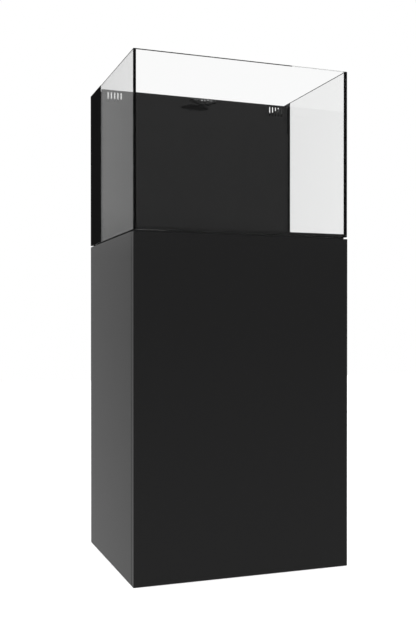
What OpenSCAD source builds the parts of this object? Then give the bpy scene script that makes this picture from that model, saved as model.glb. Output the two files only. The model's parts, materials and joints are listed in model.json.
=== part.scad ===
// Rimless aquarium with a rear filter section, standing on a plain one-door cabinet.
// The origin is on the floor, at the middle of the footprint. The front faces -Y.

/* [Tank] */
// Outside width of the glass tank
tank_w = 600; // [560:10:700]
// Outside depth of the glass tank
tank_d = 500; // [480:10:560]
// Height of the glass tank
tank_h = 450; // [420:10:560]
// Thickness of every pane
glass_t = 8; // [8:1:10]
// Width of the polished chamfer along the pane edges
arris = 1.3; // [0.4:0.1:2]
// Thickness of the silicone between two panes
bond_t = 1; // [0.8:0.1:1.5]

/* [Filter section] */
// Depth of the filter section, from the back of the tank to the front of its wall
filter_d = 130; // [125:5:150]
// Thickness of the acrylic filter wall
wall_t = 5; // [4:0.5:6]
// How far the wall's top edge is below the rim
wall_drop = 9; // [6:0.2:13]
// Width of the pump chamber in the middle
pump_bay_w = 180; // [170:5:200]
// Number of slots in each overflow comb
slot_count = 5; // [4:1:5]
// Width of one comb slot
slot_w = 4.8; // [4:0.2:5.4]
// Distance between neighbouring slots
slot_pitch = 9.6; // [9:0.2:10]
// Height of one comb slot
slot_h = 30; // [20:1:34]

/* [Stand] */
// Outside width of the cabinet
stand_w = 600; // [560:10:700]
// Height of the cabinet above its glides
stand_h = 891; // [861:10:951]
// Thickness of the cabinet panels and the door
panel_t = 18; // [18:1:19]
// Gap between the closed door and the carcass
door_gap = 3; // [2:0.5:4]
// Height of the glides under the side panels
glide_h = 1; // [1:0.5:4]
// Thickness of the foam mat under the tank
mat_t = 4; // [3:1:6]
// How far the mat stays back from the tank's edges
mat_inset = 7; // [4:1:15]

/* [Hardware] */
// Diameter of the hinge cup that is sunk into the door
cup_d = 35; // [35:1:35]
// Distance of the hinge pin from the door's outer edge
pin_edge = 12; // [12:1:12]
// Diameter of the cable holes in the cabinet's back
cable_hole_d = 60; // [40:5:70]
// Outside diameter of the return hose
hose_d = 20; // [18:1:21]

/* [Hidden] */
$fn = 48;

// Cabinet
side_x = stand_w / 2 - panel_t;
back_y = tank_d / 2;
door_front_y = -tank_d / 2;
door_back_y = door_front_y + panel_t;
carcass_front_y = door_back_y + door_gap;
carcass_d = back_y - carcass_front_y;
stand_top = glide_h + stand_h;
door_z0 = glide_h;
door_h = stand_h - 1;
rail_h = 80;
glide_r = 15;
glide_y = [-195, back_y - 30];
dowel_r = 4;
dowel_in_side = 11;
dowel_in_deck = 18;
dowel_inset = 9;
hinge_z = [112, 430, 748];
pin_x = stand_w / 2 - pin_edge;
pin_y = door_back_y - 6;
cup_x = stand_w / 2 - 22.5;
cup_depth = 11.5;
cup_wall = 1.5;
cup_screw_x = cup_x - 9;
cup_screw_dz = [-24, 24];
pin_r = 1.55;
link_x = side_x - 12;
arm_y0 = carcass_front_y + 2;
arm_y1 = carcass_front_y + 72;
arm_screw_y = arm_y0 + 35;
arm_screw_dz = [-16, 16];
arm_adjuster_y = [arm_y0 + 42, arm_y0 + 60];
latch_z = 448;
latch_x = -side_x + 10;
latch_screw_y = carcass_front_y + 50;
latch_screw_dz = [-12, 12];
strike_r = 8;
plunger_r = 4;
cable_hole_x = [-170, 170];
cable_hole_z = 180;
back_dowel_z = [210, 450, 690];
rail_dowel_z = [stand_top - 38, stand_top - 78];
dowel_spots = [
    [-80, stand_top - dowel_inset], [80, stand_top - dowel_inset],
    [-80, glide_h + dowel_inset], [80, glide_h + dowel_inset],
    for (z = back_dowel_z) [back_y - dowel_inset, z],
    for (z = rail_dowel_z) [carcass_front_y + dowel_inset, z]
];
cam_spots = [[-180, 1], [180, 1], [-180, -1], [180, -1]];
cam_x = side_x - 24;
cam_r = 7.5;
cam_h = 14.5;
bolt_r = 2.5;
pilot_r = 1.4;
screw_r = 1.75;
plate_t = 3;
screw_hole_r = 2;

// Tank
tank_z = stand_top + mat_t;
rim_z = tank_z + tank_h;
floor_z = tank_z + glass_t;
in_x = tank_w / 2 - glass_t;
in_y = tank_d / 2 - glass_t;
film_t = 0.3;
film_lap = 9;
mitre_gap = bond_t / sqrt(2);
side_pane_d = tank_d - glass_t - bond_t;

// Filter section
wall_y = tank_d / 2 - filter_d;
wall_back = wall_y + wall_t;
wall_top = rim_z - wall_drop;
bay_mid = (wall_back + in_y) / 2;
slot_top = wall_top - 5.4;
comb_w = 67;
comb_h = 86;
comb_x1 = in_x - 3;
comb_x0 = comb_x1 - comb_w;
comb_z = wall_top - comb_h;
slot_x0 = tank_w / 2 - 30;
baffle_t = 4;
window_x = [-8, 40];
window_z = [rim_z - 19.5, rim_z - 11.5];
basket_w = 150;
basket_d = 96;
basket_h = 330;
basket_x = (in_x + pump_bay_w / 2) / 2 + 2;
basket_z = floor_z + 8.3;
basket_t = 3;
basket_foot = 8;
hole_pitch = 12;
floss_h = 40;
sponge_h = 118;
bio_h = 100;

// Pump and return line
pump_z = floor_z + 52;
pump_r = 28;
hose_wall = 2;
bore_r = 6;
foot_x = [-62, -30];
foot_y = [-14, 14];
foot_r = 4;
gland_x = -60;
gland_dz = 14;
gland_r = 5;
shaft_r = 2;
outlet_z = pump_z + 44;
elbow_r = 18;
nozzle_z = rim_z - 29;
pipe_r = 8;
bend_r = 10.5;
nut_r = 11;
hub_r = 10;
hub_y = wall_y - 25;
ball_x = 19;
ball_r = 8.5;
jet_r = 4;
outlet_turn = -28;

module on_both_sides() {
    for (s = [0, 1])
        mirror([s, 0, 0])
            children();
}

// A pane over the plan outline given as its child, with chamfered edges along its top and bottom
module pane(w, d, h) {
    intersection() {
        rotate([90, 0, 90])
            linear_extrude(w)
                chamfered(d, h);
        linear_extrude(h)
            children();
        translate([0, d, 0])
            rotate([90, 0, 0])
                linear_extrude(d)
                    chamfered(w, h);
    }
}

module chamfered(a, b) {
    polygon([
        [arris, 0], [a - arris, 0], [a, arris], [a, b - arris],
        [a - arris, b], [arris, b], [0, b - arris], [0, arris]
    ]);
}

module rounded_box(w, d, h, r) {
    linear_extrude(h)
        rounded_rect(w, d, r);
}

module rounded_rect(w, d, r) {
    union() {
        translate([r, 0])
            square([w - 2 * r, d]);
        translate([0, r])
            square([w, d - 2 * r]);
        for (x = [r, w - r], y = [r, d - r])
            translate([x, y])
                circle(r);
    }
}

module x_rod(x0, x1, y, z, r) {
    translate([x0, y, z])
        rotate([0, 90, 0])
            cylinder(h = x1 - x0, r = r);
}

module y_rod(x, y0, y1, z, r) {
    translate([x, y0, z])
        rotate([-90, 0, 0])
            cylinder(h = y1 - y0, r = r);
}

module z_rod(x, y, z0, z1, r) {
    translate([x, y, z0])
        cylinder(h = z1 - z0, r = r);
}

// ---- Cabinet ----

module floor_glides() {
    color("dimgray")
        for (x = [-side_x + 3, side_x - 3], y = glide_y)
            z_rod(x, y, 0, glide_h, glide_r);
}

module side_panel() {
    difference() {
        translate([side_x, carcass_front_y, glide_h])
            cube([panel_t, carcass_d, stand_h]);
        for (p = dowel_spots)
            x_rod(side_x - 1, side_x + dowel_in_side, p[0], p[1], dowel_r);
        for (c = cam_spots)
            x_rod(side_x - 1, side_x + dowel_in_side, c[0], cam_level(c[1]), bolt_r);
    }
}

function cam_level(side) = side > 0 ? stand_top - dowel_inset : glide_h + dowel_inset;

module left_side_panel() {
    color("black")
        difference() {
            mirror([1, 0, 0])
                side_panel();
            for (d = latch_screw_dz)
                x_rod(-side_x - 10, -side_x + 1, latch_screw_y, latch_z + d, pilot_r);
        }
}

module right_side_panel() {
    color("black")
        difference() {
            side_panel();
            for (z = hinge_z, d = arm_screw_dz)
                x_rod(side_x - 1, side_x + 11, arm_screw_y, z + d, pilot_r);
        }
}

// A panel between the sides, with cam pockets and bolt and dowel holes in its ends
module deck(z0, cam_side) {
    difference() {
        translate([-side_x, carcass_front_y, z0])
            cube([2 * side_x, carcass_d - panel_t, panel_t]);
        on_both_sides() {
            for (c = cam_spots)
                if (c[1] == cam_side) {
                    x_rod(cam_x, side_x + 1, c[0], cam_level(cam_side), dowel_r);
                    translate([cam_x, c[0], cam_level(cam_side) - (cam_side > 0 ? 10 : 4.5)])
                        cylinder(h = cam_h, r = cam_r);
                }
            for (p = dowel_spots)
                if (abs(p[1] - z0 - dowel_inset) < 1)
                    x_rod(side_x - dowel_in_deck, side_x + 1, p[0], p[1], dowel_r);
        }
    }
}

module bottom_panel() {
    color("black")
        deck(glide_h, -1);
}

module top_panel() {
    color("black")
        deck(stand_top - panel_t, 1);
}

module back_panel() {
    color("black")
        difference() {
            translate([-side_x, back_y - panel_t, glide_h])
                cube([2 * side_x, panel_t, stand_h]);
            for (x = cable_hole_x)
                y_rod(x, back_y - panel_t - 1, back_y + 1, cable_hole_z, cable_hole_d / 2);
            on_both_sides()
                for (z = back_dowel_z)
                    x_rod(side_x - dowel_in_deck, side_x + 1, back_y - dowel_inset, z, dowel_r);
        }
}

module front_rail() {
    color("black")
        difference() {
            translate([-side_x, carcass_front_y, stand_top - panel_t - rail_h])
                cube([2 * side_x, panel_t, rail_h]);
            on_both_sides()
                for (z = rail_dowel_z)
                    x_rod(side_x - dowel_in_deck, side_x + 1, carcass_front_y + dowel_inset, z, dowel_r);
        }
}

module panel_dowels() {
    color("burlywood")
        on_both_sides()
            for (p = dowel_spots)
                x_rod(side_x - dowel_in_deck + 1, side_x + dowel_in_side - 0.5, p[0], p[1], dowel_r);
}

module cam_locks() {
    color("silver")
        on_both_sides()
            for (c = cam_spots)
                translate([cam_x, c[0], cam_level(c[1])])
                    difference() {
                        translate([0, 0, c[1] > 0 ? -9 : -4])
                            cylinder(h = cam_h - 1.5, r = cam_r - 0.1);
                        x_rod(0, 10, 0, 0, dowel_r);
                        translate([0, 0, c[1] > 0 ? -8.5 : 8.5])
                            for (a = [0, 90])
                                rotate(a)
                                    cube([9, 1.6, 2], center = true);
                    }
}

module cam_bolts() {
    color("silver")
        on_both_sides()
            for (c = cam_spots) {
                x_rod(cam_x + 1, cam_x + 4, c[0], cam_level(c[1]), 3.4);
                x_rod(cam_x + 4, side_x - 0.5, c[0], cam_level(c[1]), bolt_r - 0.1);
                x_rod(side_x - 0.5, side_x + 10, c[0], cam_level(c[1]), bolt_r);
            }
}

module foam_mat() {
    color("#2a2a2a")
        translate([-tank_w / 2 + mat_inset, -tank_d / 2 + mat_inset, stand_top])
            cube([tank_w - 2 * mat_inset, tank_d - 2 * mat_inset, mat_t]);
}

// ---- Door, hinges and latch ----

module door() {
    color("black")
        difference() {
            translate([-stand_w / 2, door_front_y, door_z0])
                cube([stand_w, panel_t, door_h]);
            for (z = hinge_z) {
                y_rod(cup_x, door_back_y - cup_depth, door_back_y + 1, z, cup_d / 2);
                for (d = cup_screw_dz)
                    y_rod(cup_screw_x, door_back_y - 11, door_back_y + 1, z + d, pilot_r);
            }
            y_rod(latch_x, door_back_y - 1.5, door_back_y + 1, latch_z, strike_r);
        }
}

module hinge_cups() {
    color("silver")
        for (z = hinge_z)
            translate([cup_x, door_back_y, z])
                difference() {
                    union() {
                        y_rod(0, -cup_depth + 0.3, 1, 0, cup_d / 2 - 0.2);
                        difference() {
                            translate([-16, 0, -30])
                                rotate([-90, 0, 0])
                                    translate([0, -60, 0])
                                        rounded_box(20, 60, 1, 5);
                            for (d = cup_screw_dz)
                                y_rod(cup_screw_x - cup_x, -1, 2, d, screw_hole_r);
                        }
                    }
                    difference() {
                        y_rod(0, -cup_depth + cup_wall, 2, 0, cup_d / 2 - cup_wall);
                        z_rod(pin_x - cup_x, pin_y - door_back_y, -17, 17, pin_r);
                    }
                }
}

module cup_screws() {
    color("silver")
        for (z = hinge_z, d = cup_screw_dz)
            translate([cup_screw_x, door_back_y + 1, z + d])
                screw(10.5, 0.8, 3.2);
}

// A cross-head screw driven towards -Y, with the underside of its head at the origin
module screw(length, head_h, head_r) {
    rotate([90, 0, 0])
        difference() {
            union() {
                translate([0, 0, -head_h])
                    cylinder(h = head_h, r = head_r);
                cylinder(h = length, r = screw_r);
            }
            translate([0, 0, -head_h])
                for (a = [0, 90])
                    rotate(a)
                        cube([1.1 * head_r, 0.25 * head_r, 1.2], center = true);
        }
}

// The same screw driven towards +X
module x_screw(x, y, z, length) {
    translate([x, y, z])
        rotate([0, 0, -90])
            mirror([0, 1, 0])
                screw(length, 1.6, 3.4);
}

module latch_strike() {
    color("silver")
        y_rod(latch_x, door_back_y - 1.4, door_back_y - 0.1, latch_z, strike_r - 0.2);
}

// The link carries the door's pin at one end and slides in its arm at the other
module hinge_links() {
    color("gray")
        for (z = hinge_z)
            translate([0, 0, z])
                difference() {
                    union() {
                        z_rod(pin_x, pin_y, -5, 5, 3.2);
                        translate([link_x - 1.5, pin_y - 1.5, -5])
                            cube([pin_x - link_x + 1.5, 3, 10]);
                        translate([link_x - 1.5, pin_y, -5])
                            cube([3, arm_y0 + 30 - pin_y, 10]);
                    }
                    z_rod(pin_x, pin_y, -6, 6, pin_r + 0.05);
                }
}

module hinge_arms() {
    color("silver")
        for (z = hinge_z)
            translate([0, 0, z])
                hinge_arm();
}

module hinge_arm() {
    difference() {
        union() {
            translate([side_x - 18, arm_y0, -8])
                cube([15, arm_y1 - arm_y0, 16]);
            translate([side_x - plate_t, arm_y0 + 14, -23])
                cube([plate_t, 42, 46]);
        }
        translate([link_x - 2.5, arm_y0 - 1, -6])
            cube([5, 35, 12]);
        translate([side_x - 8, arm_y0 - 1, -9])
            cube([5, 15, 18]);
        for (y = arm_adjuster_y)
            x_rod(side_x - 19, side_x - 12, y, 0, bolt_r - 0.1);
        for (d = arm_screw_dz)
            x_rod(side_x - 4, side_x + 1, arm_screw_y, d, screw_hole_r);
    }
    for (y = arm_adjuster_y)
        difference() {
            x_rod(side_x - 17, side_x - 12, y, 0, bolt_r - 0.1);
            translate([side_x - 17, y, 0])
                for (a = [0, 90])
                    rotate([a, 0, 0])
                        cube([1.6, 3.2, 0.8], center = true);
        }
}

module hinge_screws() {
    color("silver")
        for (z = hinge_z, d = arm_screw_dz)
            x_screw(side_x - plate_t, arm_screw_y, z + d, 13);
}

module latch_body() {
    color("#303030")
        difference() {
            translate([latch_x - 10, carcass_front_y + 2, latch_z - 8])
                union() {
                    cube([20, 70, 16]);
                    translate([0, 38, -12])
                        cube([plate_t, 20, 40]);
                }
            y_rod(latch_x, carcass_front_y, carcass_front_y + 56, latch_z, plunger_r + 0.3);
            for (d = latch_screw_dz)
                x_rod(-side_x - 1, -side_x + 4, latch_screw_y, latch_z + d, screw_hole_r);
        }
}

module latch_plunger() {
    color("dimgray")
        union() {
            y_rod(latch_x, door_back_y + 0.8, latch_screw_y, latch_z, plunger_r);
            y_rod(latch_x, door_back_y + 0.4, door_back_y + 0.8, latch_z, plunger_r - 1);
        }
}

module latch_screws() {
    color("silver")
        for (d = latch_screw_dz)
            mirror([1, 0, 0])
                x_screw(side_x - plate_t, latch_screw_y, latch_z + d, 12);
}

// ---- Glass tank ----

module bottom_pane() {
    color("lightcyan", 0.4)
        translate([-in_x + bond_t, -in_y + bond_t, tank_z])
            pane(2 * (in_x - bond_t), 2 * (in_y - bond_t), glass_t)
                chamfered(2 * (in_x - bond_t), 2 * (in_y - bond_t));
}

// The front corners are mitred: each pane stays mitre_gap clear of the corner's diagonal
module front_outline() {
    polygon([
        [mitre_gap + arris, 0], [tank_w - mitre_gap - arris, 0],
        [tank_w - mitre_gap - arris / 2, arris / 2], [tank_w - mitre_gap - glass_t, glass_t],
        [mitre_gap + glass_t, glass_t], [mitre_gap + arris / 2, arris / 2]
    ]);
}

module side_outline() {
    polygon([
        [0, mitre_gap + arris], [arris / 2, mitre_gap + arris / 2], [glass_t, mitre_gap + glass_t],
        [glass_t, side_pane_d - arris], [glass_t - arris, side_pane_d],
        [arris, side_pane_d], [0, side_pane_d - arris]
    ]);
}

module side_pane() {
    translate([-tank_w / 2, -tank_d / 2, tank_z])
        pane(glass_t, side_pane_d, tank_h)
            side_outline();
}

module front_pane() {
    color("lightcyan", 0.4)
        translate([-tank_w / 2, -tank_d / 2, tank_z])
            pane(tank_w, glass_t, tank_h)
                front_outline();
}

module back_pane() {
    color("lightcyan", 0.4)
        translate([-tank_w / 2, in_y, tank_z])
            pane(tank_w, glass_t, tank_h)
                chamfered(tank_w, glass_t);
}

module left_pane() {
    color("lightcyan", 0.4)
        side_pane();
}

module right_pane() {
    color("lightcyan", 0.4)
        mirror([1, 0, 0])
            side_pane();
}

module mitre_outline() {
    polygon([
        [mitre_gap + arris / 2, arris / 2], [mitre_gap + glass_t, glass_t],
        [glass_t, mitre_gap + glass_t], [arris / 2, mitre_gap + arris / 2]
    ]);
}

module corner_joints() {
    color("#151515")
        on_both_sides() {
            translate([in_x, in_y - bond_t, tank_z + 1])
                cube([glass_t - 1, bond_t, tank_h - 2]);
            translate([-tank_w / 2, -tank_d / 2, tank_z + 1])
                linear_extrude(tank_h - 2)
                    mitre_outline();
        }
}

module bottom_joint() {
    color("#151515")
        difference() {
            translate([-in_x, -in_y, tank_z + 0.5])
                linear_extrude(glass_t - 0.5)
                    clipped_corners(2 * in_x, 2 * in_y, mitre_gap);
            translate([-in_x + bond_t, -in_y + bond_t, tank_z])
                cube([2 * (in_x - bond_t), 2 * (in_y - bond_t), glass_t + 1]);
        }
}

// A rectangle without its two front corners, where the mitred joints come through
module clipped_corners(w, d, cut) {
    polygon([[cut, 0], [w - cut, 0], [w, cut], [w, d], [0, d], [0, cut]]);
}

module side_films() {
    color("black")
        on_both_sides()
            translate([tank_w / 2, wall_y - film_lap, tank_z])
                cube([film_t, filter_d + film_lap, tank_h]);
}

module back_film() {
    color("black")
        translate([-tank_w / 2, tank_d / 2, tank_z])
            cube([tank_w, film_t, tank_h - arris]);
}

// ---- Filter section ----

module filter_wall() {
    color("black")
        difference() {
            translate([-in_x, wall_y, floor_z])
                cube([2 * in_x, wall_t, wall_top - floor_z]);
            on_both_sides()
                translate([comb_x0 - 0.5, wall_y - 1, comb_z - 0.5])
                    cube([comb_w + 10, wall_t + 2, comb_h + 2]);
            translate([window_x[0], wall_back + 1, window_z[0]])
                rotate([90, 0, 0])
                    rounded_box(window_x[1] - window_x[0], window_z[1] - window_z[0], wall_t + 2, 3);
            y_rod(0, wall_y - 1, wall_back + 1, nozzle_z, pipe_r + 0.2);
        }
}

module comb_guides() {
    color("black")
        on_both_sides()
            for (x = [comb_x0 - 6, in_x - 8])
                translate([x, wall_back, comb_z - 20])
                    union() {
                        translate([0, 0.3, 0])
                            cube([x < comb_x0 ? 10 : 8, 3, comb_h + 14]);
                        if (x < comb_x0)
                            cube([5, 1, comb_h + 14]);
                    }
}

module comb() {
    difference() {
        union() {
            translate([comb_x0, wall_y, comb_z])
                cube([comb_w, wall_t, comb_h]);
            translate([comb_x0 + 6, wall_back, comb_z + 4])
                cube([comb_w - 22, 4, 4]);
        }
        for (i = [0:slot_count - 1])
            translate([slot_x0 - i * slot_pitch, wall_back + 1, slot_top])
                rotate([90, 0, 0])
                    union() {
                        translate([-slot_w / 2, -slot_h + slot_w / 2, 0])
                            cube([slot_w, slot_h - slot_w, wall_t + 2]);
                        for (y = [-slot_w / 2, -slot_h + slot_w / 2])
                            translate([0, y, 0])
                                cylinder(h = wall_t + 2, r = slot_w / 2);
                    }
    }
}

module left_comb() {
    color("black")
        mirror([1, 0, 0])
            comb();
}

module right_comb() {
    color("black")
        comb();
}

module baffle() {
    difference() {
        translate([pump_bay_w / 2, wall_back, floor_z])
            cube([baffle_t, in_y - wall_back, wall_top - 60 - floor_z]);
        translate([pump_bay_w / 2 - 1, bay_mid - 30, floor_z + 25])
            cube([baffle_t + 2, 60, 30]);
    }
}

module left_baffle() {
    color("black")
        mirror([1, 0, 0])
            baffle();
}

module right_baffle() {
    color("black")
        baffle();
}

module basket() {
    translate([basket_x, bay_mid, basket_z])
        difference() {
            union() {
                translate([-basket_w / 2, -basket_d / 2, 0])
                    rounded_box(basket_w, basket_d, basket_h, 6);
                for (x = [-50, 42])
                    translate([x, -20, -basket_foot])
                        cube([8, 40, basket_foot + 1]);
                translate([-6, -basket_d / 2, basket_h - 1])
                    cube([12, basket_d, 36]);
            }
            translate([-basket_w / 2 + basket_t, -basket_d / 2 + basket_t, basket_t])
                rounded_box(basket_w - 2 * basket_t, basket_d - 2 * basket_t, basket_h + 1, 4);
            translate([-7, -basket_d / 2 + 4, basket_h - 2])
                cube([14, basket_d - 8, 28]);
            for (x = [-60:hole_pitch:60], y = [-36:hole_pitch:36])
                translate([x - 4, y - 2, -1])
                    cube([8, 4, basket_t + 2]);
        }
}

// One layer of filter material, at a height above the basket's floor
module layer(above, h) {
    inset = basket_t + 0.5;
    translate([basket_x - basket_w / 2 + inset, bay_mid - basket_d / 2 + inset, basket_z + basket_t + above])
        rounded_box(basket_w - 2 * inset, basket_d - 2 * inset, h, 3.5);
}

module floss() {
    layer(bio_h + sponge_h + 4, floss_h);
}

module sponge() {
    layer(bio_h + 2, sponge_h);
}

module bio_block() {
    layer(0, bio_h);
}

module left_basket() {
    color("#202020")
        mirror([1, 0, 0])
            basket();
}

module left_floss() {
    color("white")
        mirror([1, 0, 0])
            floss();
}

module left_sponge() {
    color("#303840")
        mirror([1, 0, 0])
            sponge();
}

module left_bio_block() {
    color("wheat")
        mirror([1, 0, 0])
            bio_block();
}

module right_basket() {
    color("#202020")
        basket();
}

module right_floss() {
    color("white")
        floss();
}

module right_sponge() {
    color("#303840")
        sponge();
}

module right_bio_block() {
    color("wheat")
        bio_block();
}

// ---- Pump: the motor lies along X, the volute is on the middle plane ----

module pump_body() {
    color("#202020")
        translate([0, bay_mid, pump_z])
            difference() {
                union() {
                    x_rod(-82, -14, 0, 0, pump_r);
                    x_rod(-84, -82, 0, 0, pump_r - 3);
                    for (i = [0:4])
                        x_rod(-76 + i * 11, -72 + i * 11, 0, 0, pump_r + 2);
                    translate([-70, -22, -38])
                        cube([50, 44, 30]);
                }
                x_rod(-62, -13, 0, 0, 14);
                x_rod(-66, -61, 0, 0, shaft_r + 0.2);
                y_rod(gland_x, 20, 32, gland_dz, gland_r);
                for (x = foot_x, y = foot_y)
                    z_rod(x, y, -39, -34, foot_r + 0.2);
            }
}

module pump_volute() {
    color("#262626")
        translate([0, bay_mid, pump_z])
            difference() {
                union() {
                    x_rod(-14, 16, 0, 0, pump_r + 2);
                    z_rod(0, 0, 0, outlet_z - pump_z, 11);
                    z_rod(0, 0, outlet_z - pump_z, outlet_z - pump_z + 26, hose_d / 2 - hose_wall);
                }
                x_rod(-15, 12, 0, 0, 24);
                x_rod(11, 17, 0, 0, 12);
                z_rod(0, 0, 10, outlet_z - pump_z + 27, bore_r);
            }
}

module pump_strainer() {
    color("#202020")
        translate([16, bay_mid, pump_z])
            difference() {
                union() {
                    x_rod(0, 3, 0, 0, pump_r);
                    x_rod(3, 34, 0, 0, pump_r - 2);
                }
                x_rod(-1, 31, 0, 0, pump_r - 5);
                for (a = [0:20:340])
                    rotate([a, 0, 0])
                        translate([6, -2, 0])
                            cube([22, 4, pump_r + 2]);
            }
}

module impeller() {
    color("gray")
        translate([0, bay_mid, pump_z])
            difference() {
                union() {
                    x_rod(-58, -13, 0, 0, 12.5);
                    x_rod(-13, -8, 0, 0, 21);
                    x_rod(-8, 8, 0, 0, 6);
                    for (a = [0:60:300])
                        rotate([a, 0, 0])
                            translate([-9, -1, 0])
                                cube([17, 2, 20]);
                }
                x_rod(-59, 9, 0, 0, shaft_r + 0.05);
            }
}

module impeller_shaft() {
    color("white")
        translate([0, bay_mid, pump_z])
            union() {
                x_rod(-66, 14, 0, 0, shaft_r);
                x_rod(10, 14, 0, 0, shaft_r + 1);
                for (a = [0, 120, 240])
                    rotate([a, 0, 0])
                        translate([10.2, -1, 0])
                            cube([1.5, 2, 23.8]);
            }
}

module pump_feet() {
    color("#101010")
        for (x = foot_x, y = foot_y)
            translate([x, bay_mid + y, floor_z])
                rotate_extrude()
                    polygon([
                        [0, 5], [8, 2], [11, 0], [12, 0], [12, 1.2], [8, 7],
                        [foot_r, 9], [foot_r, pump_z - floor_z - 34], [0, pump_z - floor_z - 34]
                    ]);
}

module cable_gland() {
    color("#101010")
        translate([gland_x, bay_mid, pump_z + gland_dz])
            union() {
                y_rod(0, 20, 31, 0, gland_r);
                y_rod(0, 30.4, 34, 0, gland_r + 2);
                y_rod(0, 34, 42, 0, gland_r - 1);
            }
}

module return_hose() {
    color("#3a3a3a")
        difference() {
            z_rod(0, bay_mid, outlet_z + 1, nozzle_z - elbow_r - 6, hose_d / 2);
            z_rod(0, bay_mid, outlet_z, nozzle_z - elbow_r, hose_d / 2 - hose_wall);
        }
}

module hose_clamps() {
    color("silver")
        for (z = [outlet_z + 8, nozzle_z - elbow_r - 20])
            difference() {
                union() {
                    z_rod(0, bay_mid, z, z + 9, hose_d / 2 + 1);
                    translate([-5, bay_mid - hose_d / 2 - 7, z])
                        cube([10, 8, 9]);
                }
                z_rod(0, bay_mid, z - 1, z + 10, hose_d / 2);
            }
}

// A barbed elbow that turns the hose towards the wall, with a collar for the nut
module return_elbow() {
    color("#202020")
        difference() {
            union() {
                z_rod(0, bay_mid, nozzle_z - elbow_r - 30, nozzle_z - elbow_r - 6, hose_d / 2 - hose_wall);
                z_rod(0, bay_mid, nozzle_z - elbow_r - 6, nozzle_z, bend_r);
                translate([0, bay_mid, nozzle_z])
                    sphere(bend_r);
                y_rod(0, wall_back + 4, bay_mid, nozzle_z, bend_r);
                y_rod(0, wall_back, wall_back + 4, nozzle_z, bend_r + 1.5);
                y_rod(0, wall_y - 14, wall_back + 4, nozzle_z, pipe_r);
            }
            z_rod(0, bay_mid, nozzle_z - elbow_r - 31, nozzle_z, bore_r);
            y_rod(0, wall_y - 15, bay_mid, nozzle_z, bore_r);
        }
}

// The ring nut that clamps the elbow's collar against the wall
module elbow_nut() {
    color("#202020")
        difference() {
            y_rod(0, wall_y - 4, wall_y, nozzle_z, nut_r);
            y_rod(0, wall_y - 5, wall_y + 1, nozzle_z, pipe_r);
            for (a = [15:30:345])
                translate([0, wall_y - 4, nozzle_z])
                    rotate([0, a, 0])
                        y_rod(nut_r + 0.8, -1, 3, 0, 1.6);
        }
}

module nozzle_hub() {
    color("#202020")
        translate([0, 0, nozzle_z])
            difference() {
                union() {
                    y_rod(0, hub_y - 2, wall_y - 4.5, 0, hub_r);
                    translate([0, hub_y - 2, 0])
                        sphere(hub_r);
                    on_both_sides()
                        translate([0, hub_y, 0])
                            rotate([0, 0, outlet_turn])
                                difference() {
                                    union() {
                                        x_rod(0, ball_x - 6, 0, 0, 7);
                                        translate([ball_x, 0, 0])
                                            intersection() {
                                                sphere(ball_r + 2.1);
                                                x_rod(-12, 3, 0, 0, 12);
                                            }
                                    }
                                    translate([ball_x, 0, 0])
                                        sphere(ball_r + 0.1);
                                }
                }
                y_rod(0, hub_y + 8, wall_y, 0, pipe_r + 0.05);
                y_rod(0, hub_y, hub_y + 9, 0, jet_r);
                on_both_sides()
                    translate([0, hub_y, 0])
                        rotate([0, 0, outlet_turn]) {
                            x_rod(0, ball_x, 0, 0, jet_r);
                            translate([ball_x, 0, 0])
                                sphere(ball_r + 0.1);
                        }
            }
}

// A duckbill mouth on a ball, pointing along +X from the ball's centre
module outlet() {
    difference() {
        union() {
            sphere(ball_r);
            x_rod(4, 10, 0, 0, 6.2);
            hull() {
                x_rod(9, 10, 0, 0, 6.2);
                translate([24, -9, -4])
                    cube([1, 18, 8]);
            }
        }
        x_rod(-9, 9, 0, 0, jet_r);
        hull() {
            translate([8, 0, 0])
                sphere(r = 3, $fn = 24);
            translate([25.5, -7.5, -2.6])
                cube([1, 15, 5.2]);
        }
    }
}

module right_outlet() {
    color("#202020")
        translate([0, hub_y, nozzle_z])
            rotate([0, 0, outlet_turn])
                translate([ball_x, 0, 0])
                    outlet();
}

module left_outlet() {
    color("#202020")
        mirror([1, 0, 0])
            translate([0, hub_y, nozzle_z])
                rotate([0, 0, outlet_turn])
                    translate([ball_x, 0, 0])
                        outlet();
}

floor_glides();
left_side_panel();
right_side_panel();
bottom_panel();
top_panel();
back_panel();
front_rail();
panel_dowels();
cam_locks();
cam_bolts();
foam_mat();
door();
hinge_cups();
cup_screws();
latch_strike();
hinge_links();
hinge_arms();
hinge_screws();
latch_body();
latch_plunger();
latch_screws();
bottom_pane();
front_pane();
back_pane();
left_pane();
right_pane();
corner_joints();
bottom_joint();
side_films();
back_film();
filter_wall();
comb_guides();
left_comb();
right_comb();
left_baffle();
right_baffle();
left_basket();
left_floss();
left_sponge();
left_bio_block();
right_basket();
right_floss();
right_sponge();
right_bio_block();
pump_body();
pump_volute();
pump_strainer();
impeller();
impeller_shaft();
pump_feet();
cable_gland();
return_hose();
hose_clamps();
return_elbow();
elbow_nut();
nozzle_hub();
left_outlet();
right_outlet();
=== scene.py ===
"""Looks of the rimless aquarium on its black cabinet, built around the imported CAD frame."""
import json
import math

import bmesh
import bpy
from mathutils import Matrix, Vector, noise


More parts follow.
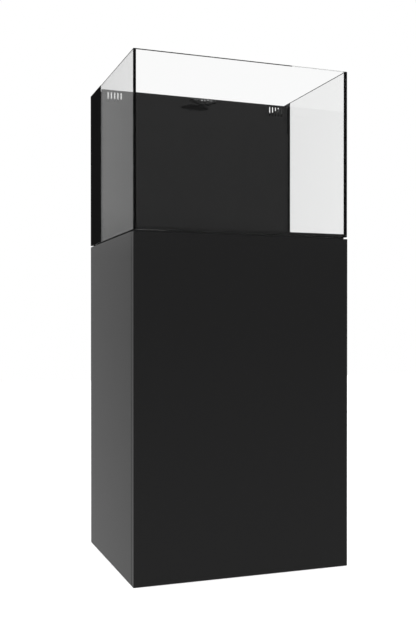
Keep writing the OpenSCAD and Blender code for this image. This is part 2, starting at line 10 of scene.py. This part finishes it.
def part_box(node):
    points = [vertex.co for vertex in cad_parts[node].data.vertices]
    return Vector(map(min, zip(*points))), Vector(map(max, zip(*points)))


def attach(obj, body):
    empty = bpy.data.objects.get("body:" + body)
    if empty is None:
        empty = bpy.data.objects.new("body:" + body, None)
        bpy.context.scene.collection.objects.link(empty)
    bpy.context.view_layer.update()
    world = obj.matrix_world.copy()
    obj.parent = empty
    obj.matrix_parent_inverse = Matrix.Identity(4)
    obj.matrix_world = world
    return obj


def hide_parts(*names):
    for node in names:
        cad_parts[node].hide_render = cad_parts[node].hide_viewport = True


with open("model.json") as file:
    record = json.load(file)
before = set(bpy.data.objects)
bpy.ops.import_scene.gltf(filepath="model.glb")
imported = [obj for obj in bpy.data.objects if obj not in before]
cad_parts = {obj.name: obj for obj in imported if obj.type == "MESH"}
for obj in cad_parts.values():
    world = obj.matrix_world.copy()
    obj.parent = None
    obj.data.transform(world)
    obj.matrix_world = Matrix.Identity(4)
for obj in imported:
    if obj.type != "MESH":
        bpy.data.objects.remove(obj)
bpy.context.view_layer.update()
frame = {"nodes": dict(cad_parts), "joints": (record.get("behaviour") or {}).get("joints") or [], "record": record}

NODES = frame["nodes"]
MM = 0.001


# ---------------------------------------------------------------- shader helpers

class Nodes:
    """Short calls that add linked nodes to one node tree."""

    def __init__(self, tree):
        self.nodes = tree.nodes
        self.links = tree.links

    def node(self, kind, inputs=None, **settings):
        made = self.nodes.new(kind)
        for key, value in settings.items():
            setattr(made, key, value)
        for key, value in (inputs or {}).items():
            if isinstance(value, bpy.types.NodeSocket):
                self.links.new(value, made.inputs[key])
            else:
                made.inputs[key].default_value = value
        return made

    def remap(self, value, low, high, start=0.0, end=1.0):
        made = self.node("ShaderNodeMapRange", {
            "Value": value, "From Min": start, "From Max": end, "To Min": low, "To Max": high})
        return made.outputs[0]

    def calculate(self, operation, *values):
        return self.node("ShaderNodeMath", dict(enumerate(values)), operation=operation).outputs[0]


class Shader(Nodes):
    """A node material with one Principled shader, and short calls to build on it."""

    def __init__(self, name, color, roughness, **sockets):
        self.material = bpy.data.materials.new(name)
        self.material.use_nodes = True
        super().__init__(self.material.node_tree)
        self.principled = self.nodes["Principled BSDF"]
        self.set("Base Color", (*color, 1.0))
        self.set("Roughness", roughness)
        for socket, value in sockets.items():
            self.set(socket.replace("_", " "), value)
        self.coords = self.nodes.new("ShaderNodeTexCoord").outputs["Object"]

    def set(self, socket, value):
        self.principled.inputs[socket].default_value = value

    def link(self, source, socket):
        self.links.new(source, self.principled.inputs[socket])

    def noise(self, scale, detail=3.0, stretch=(1, 1, 1)):
        mapping = self.node("ShaderNodeMapping", {"Vector": self.coords, "Scale": stretch})
        made = self.node("ShaderNodeTexNoise", {
            "Vector": mapping.outputs[0], "Scale": scale, "Detail": detail})
        return made.outputs["Fac"]

    def cells(self, scale):
        made = self.node("ShaderNodeTexVoronoi", {"Vector": self.coords, "Scale": scale}, feature="F1")
        return made.outputs["Distance"]

    def blend(self, factor, dark, light):
        made = self.node("ShaderNodeMix", {"Factor": factor}, data_type="RGBA")
        made.inputs["A"].default_value = (*dark, 1.0)
        made.inputs["B"].default_value = (*light, 1.0)
        return made.outputs["Result"]

    def bump(self, height, depth, strength=1.0):
        made = self.node("ShaderNodeBump", {"Height": height, "Distance": depth, "Strength": strength})
        self.link(made.outputs[0], "Normal")


# ---------------------------------------------------------------- materials

def black_lacquer():
    s = Shader("black_lacquer", (0.0032, 0.0032, 0.0033), 0.06, IOR=1.5)
    s.link(s.remap(s.noise(6.0), 0.045, 0.085, 0.35, 0.65), "Roughness")
    s.bump(s.noise(420.0, 1.0), 0.02 * MM, 0.25)
    return s.material


def black_board():
    s = Shader("black_board", (0.012, 0.012, 0.0125), 0.42, IOR=1.45)
    grain = s.noise(90.0, 6.0, stretch=(1, 1, 0.06))
    shade = s.remap(grain, 0, 1, 0.3, 0.7)
    s.link(s.blend(shade, (0.009, 0.009, 0.0095), (0.016, 0.016, 0.0165)), "Base Color")
    s.link(s.remap(grain, 0.36, 0.5), "Roughness")
    s.bump(grain, 0.08 * MM, 0.4)
    return s.material


def clear_glass():
    s = Shader("clear_glass", (0.97, 0.972, 0.971), 0.0, IOR=1.38, Transmission_Weight=1.0,
               Specular_Tint=(0.5, 0.5, 0.5, 1.0))
    return s.material


def black_film():
    s = Shader("black_film", (0.0055, 0.0055, 0.0055), 0.6, IOR=1.45, Specular_IOR_Level=0.0)
    s.link(s.blend(s.noise(14.0), (0.0045, 0.0045, 0.0046), (0.0064, 0.0064, 0.0064)), "Base Color")
    grain = s.noise(900.0, 2.0)
    s.link(s.remap(grain, 0.55, 0.68), "Roughness")
    s.bump(grain, 0.02 * MM, 0.3)
    return s.material


def silicone():
    s = Shader("silicone", (0.005, 0.005, 0.005), 0.2, IOR=1.35)
    s.bump(s.noise(140.0, 2.0), 0.1 * MM, 0.3)
    return s.material


def black_acrylic():
    s = Shader("black_acrylic", (0.0018, 0.0018, 0.0019), 0.01, IOR=1.57)
    s.link(s.remap(s.noise(5.0), 0.004, 0.012), "Roughness")
    return s.material


def black_plastic():
    s = Shader("black_plastic", (0.004, 0.004, 0.0042), 0.34, IOR=1.4)
    grain = s.noise(1600.0, 2.0)
    s.link(s.remap(grain, 0.28, 0.4), "Roughness")
    s.bump(grain, 0.03 * MM, 0.4)
    return s.material


def gloss_abs():
    s = Shader("gloss_abs", (0.0015, 0.0015, 0.0016), 0.06, IOR=1.75)
    s.link(s.remap(s.noise(70.0), 0.04, 0.09), "Roughness")
    s.bump(s.noise(900.0, 1.0), 0.01 * MM, 0.3)
    return s.material


def foam():
    s = Shader("foam", (0.012, 0.012, 0.012), 0.85, IOR=1.4)
    cell = s.cells(1400.0)
    s.link(s.blend(s.remap(cell, 0, 1, 0.0, 0.6), (0.006, 0.006, 0.006), (0.02, 0.02, 0.02)), "Base Color")
    s.bump(cell, 0.2 * MM, 0.7)
    return s.material


def steel():
    s = Shader("steel", (0.62, 0.61, 0.6), 0.22, Metallic=1.0)
    s.link(s.remap(s.noise(60.0, 4.0), 0.16, 0.3), "Roughness")
    s.bump(s.noise(900.0, 2.0), 0.01 * MM, 0.3)
    return s.material


def zinc():
    s = Shader("zinc", (0.5, 0.5, 0.51), 0.38, Metallic=1.0)
    grain = s.noise(700.0, 3.0)
    s.link(s.blend(grain, (0.44, 0.44, 0.45), (0.58, 0.58, 0.59)), "Base Color")
    s.link(s.remap(grain, 0.32, 0.46), "Roughness")
    s.bump(grain, 0.03 * MM, 0.4)
    return s.material


def beech():
    s = Shader("beech", (0.6, 0.4, 0.24), 0.6)
    grain = s.noise(160.0, 5.0, stretch=(0.08, 1, 1))
    s.link(s.blend(grain, (0.5, 0.31, 0.17), (0.7, 0.5, 0.31)), "Base Color")
    s.bump(grain, 0.1 * MM, 0.4)
    return s.material


def glide_plastic():
    s = Shader("glide_plastic", (0.03, 0.03, 0.03), 0.5)
    s.bump(s.noise(800.0), 0.03 * MM, 0.4)
    return s.material


def rubber():
    s = Shader("rubber", (0.012, 0.012, 0.012), 0.55)
    s.bump(s.noise(600.0), 0.04 * MM, 0.4)
    return s.material


def hose():
    s = Shader("hose", (0.05, 0.05, 0.052), 0.28, IOR=1.42)
    rings = s.noise(500.0, 1.0, stretch=(0.05, 0.05, 1))
    s.link(s.remap(rings, 0.22, 0.36), "Roughness")
    s.bump(rings, 0.05 * MM, 0.3)
    return s.material


def floss():
    s = Shader("floss", (0.82, 0.84, 0.85), 0.95, Sheen_Weight=0.4)
    fibre = s.noise(700.0, 5.0, stretch=(1, 1, 3))
    s.link(s.blend(fibre, (0.66, 0.69, 0.7), (0.93, 0.94, 0.95)), "Base Color")
    s.bump(fibre, 0.8 * MM, 0.8)
    return s.material


def sponge():
    s = Shader("sponge", (0.03, 0.035, 0.04), 0.95)
    cell = s.cells(420.0)
    shade = s.remap(cell, 0, 1, 0.1, 0.55)
    s.link(s.blend(shade, (0.003, 0.004, 0.005), (0.05, 0.058, 0.066)), "Base Color")
    s.bump(cell, 1.5 * MM, 0.9)
    return s.material


def bio_ceramic():
    s = Shader("bio_ceramic", (0.7, 0.63, 0.52), 0.9)
    pores = s.cells(300.0)
    s.link(s.blend(s.remap(pores, 0, 1, 0.05, 0.4), (0.3, 0.25, 0.18), (0.76, 0.7, 0.59)), "Base Color")
    s.bump(pores, 1.0 * MM, 0.8)
    return s.material


def ceramic():
    s = Shader("ceramic", (0.85, 0.84, 0.82), 0.15)
    s.link(s.remap(s.noise(300.0), 0.1, 0.2), "Roughness")
    return s.material


def magnet():
    s = Shader("magnet", (0.05, 0.05, 0.055), 0.4)
    s.bump(s.noise(500.0), 0.05 * MM, 0.4)
    return s.material


MATERIALS = {make.__name__: make() for make in (
    black_lacquer, black_board, clear_glass, black_film, silicone, black_acrylic, black_plastic,
    gloss_abs, foam, steel, zinc, beech, glide_plastic, rubber, hose, floss, sponge, bio_ceramic,
    ceramic, magnet)}


def dress_cad_nodes():
    """Every CAD node takes the material of its slot in the record."""
    for part in frame["record"]["subparts"]:
        node = NODES[part["node"]]
        for slot in node.material_slots:
            slot.material = MATERIALS[part["material_slot"]]


def part_from_glass(node, gap):
    """Draws a bonded piece back from the panes by a hair, so that its own surface shows through them."""
    shrink = NODES[node].modifiers.new("air_gap", "DISPLACE")
    shrink.mid_level = 0.0
    shrink.strength = -gap


# ---------------------------------------------------------------- mesh helpers

def piece(name, shape, slot, body):
    """Turns a bmesh into a named object that takes a slot's material and rides on a body."""
    bmesh.ops.recalc_face_normals(shape, faces=shape.faces)
    mesh = bpy.data.meshes.new(name)
    shape.to_mesh(mesh)
    shape.free()
    for face in mesh.polygons:
        face.use_smooth = True
    made = bpy.data.objects.new(name, mesh)
    bpy.context.scene.collection.objects.link(made)
    mesh.materials.append(MATERIALS[slot])
    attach(made, body)
    return made


def grid_lines(low, high, radius, step):
    """Places along one side of a block: close together over the rounded edges, step apart between."""
    edge = [0.0, 0.3 * radius, 0.65 * radius, radius]
    count = max(1, round((high - low - 2 * radius) / step))
    middle = [low + radius + (high - low - 2 * radius) * i / count for i in range(1, count)]
    return [low + e for e in edge] + middle + [high - e for e in reversed(edge)]


def rounded_block(low, high, radius, step):
    """A closed box mesh with round edges, fine enough to be displaced."""
    lines = [grid_lines(low[i], high[i], radius, step) for i in range(3)]
    shape = bmesh.new()
    found = {}

    def corner(place):
        if place not in found:
            point = Vector(lines[i][place[i]] for i in range(3))
            core = Vector(min(max(point[i], low[i] + radius), high[i] - radius) for i in range(3))
            out = point - core
            if out.length > 0:
                point = core + out.normalized() * radius
            found[place] = shape.verts.new(point)
        return found[place]

    for axis in range(3):
        u, v = (axis + 1) % 3, (axis + 2) % 3
        for end in (0, len(lines[axis]) - 1):
            for i in range(len(lines[u]) - 1):
                for j in range(len(lines[v]) - 1):
                    ring = []
                    for a, b in ((i, j), (i + 1, j), (i + 1, j + 1), (i, j + 1)):
                        place = [0, 0, 0]
                        place[axis], place[u], place[v] = end, a, b
                        ring.append(corner(tuple(place)))
                    shape.faces.new(ring)
    return shape


def sink(shape, scale, depth):
    """Presses the surface in by coherent noise, so that it stays inside its box."""
    shape.normal_update()
    moves = [(v, v.normal * -depth * (0.5 + 0.5 * noise.noise(v.co * scale))) for v in shape.verts]
    for vert, move in moves:
        vert.co += move


def join_rings(shape, rings):
    """Faces between each ring of vertices and the next."""
    for first, second in zip(rings, rings[1:]):
        count = len(first)
        for i in range(count):
            shape.faces.new((first[i], first[(i + 1) % count], second[(i + 1) % count], second[i]))


# ---------------------------------------------------------------- soft pieces

def foam_mat():
    """The mat between the tank and the cabinet."""
    low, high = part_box("foam_mat")
    shape = rounded_block(low, high, radius=1.2 * MM, step=12 * MM)
    made = piece("foam_mat_skin", shape, "foam", "stand")
    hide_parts("foam_mat")


def filter_media(side):
    """The three layers in one basket: floss on a sponge on a ceramic block."""
    # name, slot, edge radius in mm, mesh step in mm, noise scale, depth of the noise in mm
    layers = (
        ("floss", "floss", 6.0, 2.5, 130.0, 3.0),
        ("sponge", "sponge", 4.0, 2.2, 400.0, 1.2),
        ("bio_block", "bio_ceramic", 3.0, 3.0, 260.0, 0.8),
    )
    for layer, slot, radius, step, scale, depth in layers:
        node = f"{side}_{layer}"
        low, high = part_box(node)
        shape = rounded_block(low, high, radius * MM, step * MM)
        sink(shape, scale, depth * MM)
        made = piece(f"{node}_skin", shape, slot, f"{side}_basket")
        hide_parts(node)


# ---------------------------------------------------------------- sealant

def fillet_profile(size):
    """A concave fillet in the corner at the origin, between +u and +v."""
    steps = 6
    arc = []
    for i in range(steps + 1):
        angle = math.pi + math.pi / 2 * i / steps
        arc.append((size + size * math.cos(angle), size + size * math.sin(angle)))
    return [(0.0, 0.0)] + list(reversed(arc))


def bead(shape, start, end, u, v, size):
    """One straight fillet from start to end, lying against the planes that u and v point along."""
    rings = [[shape.verts.new(at + Vector(u) * a + Vector(v) * b) for a, b in fillet_profile(size)]
             for at in (Vector(start), Vector(end))]
    join_rings(shape, rings)
    shape.faces.new(rings[0])
    shape.faces.new(list(reversed(rings[-1])))


def sealant_beads():
    """Fine beads in the corners and around the bottom, and wider ones behind the filter wall."""
    below_rim, below_comb = 1.5 * MM, 2 * MM
    pane_bead, wall_bead = 0.5 * MM, 2.5 * MM
    front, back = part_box("front_pane"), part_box("back_pane")
    left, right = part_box("left_pane"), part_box("right_pane")
    x0, x1, y0, y1 = left[1].x, right[0].x, front[1].y, back[0].y
    floor_z, top_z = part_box("bottom_pane")[1].z, front[1].z - below_rim
    wall_y, wall_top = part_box("filter_wall")[1].y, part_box("right_comb")[0].z - below_comb
    shape = bmesh.new()
    for x, inward in ((x0, 1), (x1, -1)):
        for y, forward in ((y0, 1), (y1, -1)):
            bead(shape, (x, y, floor_z), (x, y, top_z), (inward, 0, 0), (0, forward, 0), pane_bead)
        bead(shape, (x, y0, floor_z), (x, y1, floor_z), (inward, 0, 0), (0, 0, 1), pane_bead)
    for y, forward in ((y0, 1), (y1, -1)):
        bead(shape, (x0, y, floor_z), (x1, y, floor_z), (0, forward, 0), (0, 0, 1), pane_bead)
    for x, inward in ((x0, 1), (x1, -1)):
        bead(shape, (x, wall_y, floor_z), (x, wall_y, wall_top), (inward, 0, 0), (0, 1, 0), wall_bead)
    piece("sealant_beads", shape, "silicone", "stand")


# ---------------------------------------------------------------- return nozzle

def oval(width, height, square, count=40):
    """A rounded outline in the Y-Z plane, from a circle towards a rounded box as square grows."""
    points = []
    for i in range(count):
        c, s = math.cos(2 * math.pi * i / count), math.sin(2 * math.pi * i / count)
        points.append((math.copysign(abs(c) ** (2 / square), c) * width / 2,
                       math.copysign(abs(s) ** (2 / square), s) * height / 2))
    return points


def outlet(side):
    """A duckbill mouth on its ball, pointing away from the hub."""
    joint = next(j for j in frame["joints"] if j["name"] == f"{side}_outlet_tilt")
    ball = Vector(joint["pos_m"])
    up = Vector((0, 0, 1))
    out = up.cross(Vector(joint["axis"]))
    if out.x * ball.x < 0:
        out = -out
    across = up.cross(out)
    # place along the outlet from the ball's middle, width and height in mm, and squareness
    outer = (
        (-8.0, 5.0, 5.0, 2.0), (-6.0, 12.0, 12.0, 2.0), (-3.0, 15.9, 15.9, 2.0), (0.0, 17.0, 17.0, 2.0),
        (3.0, 15.9, 15.9, 2.0), (5.2, 13.4, 13.4, 2.0), (6.0, 12.4, 12.4, 2.0), (8.2, 12.4, 12.4, 2.0),
        (8.6, 13.4, 13.4, 2.0), (10.2, 13.4, 13.4, 2.0), (10.6, 12.6, 12.4, 2.1), (13.0, 13.4, 11.4, 2.2),
        (16.0, 14.8, 10.2, 2.5), (19.0, 16.2, 9.0, 2.9), (22.0, 17.4, 8.1, 3.3), (24.4, 18.0, 7.8, 3.6),
        (25.0, 17.4, 7.2, 3.6),
    )
    inner = (
        (25.0, 15.6, 5.6, 3.4), (24.4, 15.0, 5.2, 3.2), (20.0, 13.0, 5.6, 2.8), (15.0, 10.0, 6.6, 2.3),
        (10.0, 8.0, 8.0, 2.0), (0.0, 7.6, 7.6, 2.0), (-6.0, 7.6, 7.6, 2.0), (-8.0, 4.6, 4.6, 2.0),
    )
    shape = bmesh.new()
    rings = []
    for along, width, height, square in outer + inner:
        ring = [ball + out * along * MM + across * y * MM + up * z * MM
                for y, z in oval(width, height, square)]
        rings.append([shape.verts.new(point) for point in ring])
    rings.append(rings[0])
    join_rings(shape, rings)
    made = piece(f"{side}_outlet_shell", shape, "gloss_abs", f"{side}_outlet")
    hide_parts(f"{side}_outlet")


# ---------------------------------------------------------------- stage, light and camera

def floor():
    """A pale floor a hair below the glides. Glass and mirror images leave it out."""
    half_width, gap = 8.0, 0.4 * MM
    mesh = bpy.data.meshes.new("floor")
    shape = bmesh.new()
    bmesh.ops.create_grid(shape, x_segments=8, y_segments=8, size=half_width)
    shape.to_mesh(mesh)
    shape.free()
    plane = bpy.data.objects.new("floor", mesh)
    plane.location.z = -gap
    plane.visible_glossy = False
    plane.visible_transmission = False
    bpy.context.scene.collection.objects.link(plane)
    s = Shader("floor_white", (0.9, 0.9, 0.9), 0.9, Specular_IOR_Level=0.0)
    s.set("Emission Color", (1.0, 1.0, 1.0, 1.0))
    s.set("Emission Strength", 0.5)
    s.bump(s.noise(30.0), 0.5 * MM, 0.1)
    mesh.materials.append(s.material)


def mirrored_studio(tree):
    """What gloss mirrors: a grey room, paler low down and high up behind, and one softbox overhead."""
    to_softbox = (-0.12, -0.32, 0.94)
    rim_cosine, core_cosine = 0.91, 0.96
    direction = tree.node("ShaderNodeTexCoord").outputs["Generated"]
    split = tree.node("ShaderNodeSeparateXYZ", {0: direction})
    graded = tree.remap(split.outputs["Z"], 0.39, 0.302, start=-0.25, end=0.0)
    high = tree.remap(split.outputs["Z"], 0.0, 0.1, start=0.08, end=0.13)
    behind = tree.remap(split.outputs["Y"], 0.3, 1.0, start=0.0, end=0.2)
    room = tree.calculate("MULTIPLY_ADD", high, behind, graded)
    cosine = tree.node("ShaderNodeVectorMath", {0: direction, 1: to_softbox}, operation="DOT_PRODUCT")
    softbox = tree.remap(cosine.outputs["Value"], 0.0, 6.5, start=rim_cosine, end=core_cosine)
    return tree.calculate("ADD", room, softbox)


def after_bounce(tree, depth, before, after):
    """One strength for rays with no bounce of a kind so far, another for those with at least one."""
    bounced = tree.calculate("MINIMUM", depth, 1.0)
    return tree.node("ShaderNodeMix", {"Factor": bounced, "A": before, "B": after}).outputs["Result"]


def studio_world():
    """A white surround, brighter to matt surfaces. Glossy ones mirror a darker studio."""
    world = bpy.data.worlds.new("studio")
    bpy.context.scene.world = world
    world.use_nodes = True
    tree = Nodes(world.node_tree)
    rays = tree.node("ShaderNodeLightPath").outputs
    surround = after_bounce(tree, rays["Diffuse Depth"], before=1.0, after=1.25)
    strength = after_bounce(tree, rays["Glossy Depth"], before=surround, after=mirrored_studio(tree))
    background = tree.nodes["Background"]
    background.inputs["Color"].default_value = (1, 1, 1, 1)
    tree.links.new(strength, background.inputs["Strength"])


def camera():
    """The viewpoint: left of the front and below the tank, looking nearly level."""
    yaw = math.radians(20.231)
    pitch = math.radians(-0.359)
    data = bpy.data.cameras.new("camera")
    data.lens = 50.70
    data.sensor_width = 36.0
    data.shift_x = -0.0144
    data.shift_y = 0.0314
    data.clip_start = 0.05
    made = bpy.data.objects.new("camera", data)
    made.location = (-0.8609, -2.3738, 0.6543)
    made.rotation_euler = (math.pi / 2 + pitch, 0, -yaw)
    bpy.context.scene.collection.objects.link(made)
    bpy.context.scene.camera = made
    bpy.context.scene.view_settings.view_transform = "Standard"


camera()
studio_world()
floor()
dress_cad_nodes()
part_from_glass("bottom_joint", 0.05 * MM)
foam_mat()
sealant_beads()
for side in ("left", "right"):
    filter_media(side)
    outlet(side)
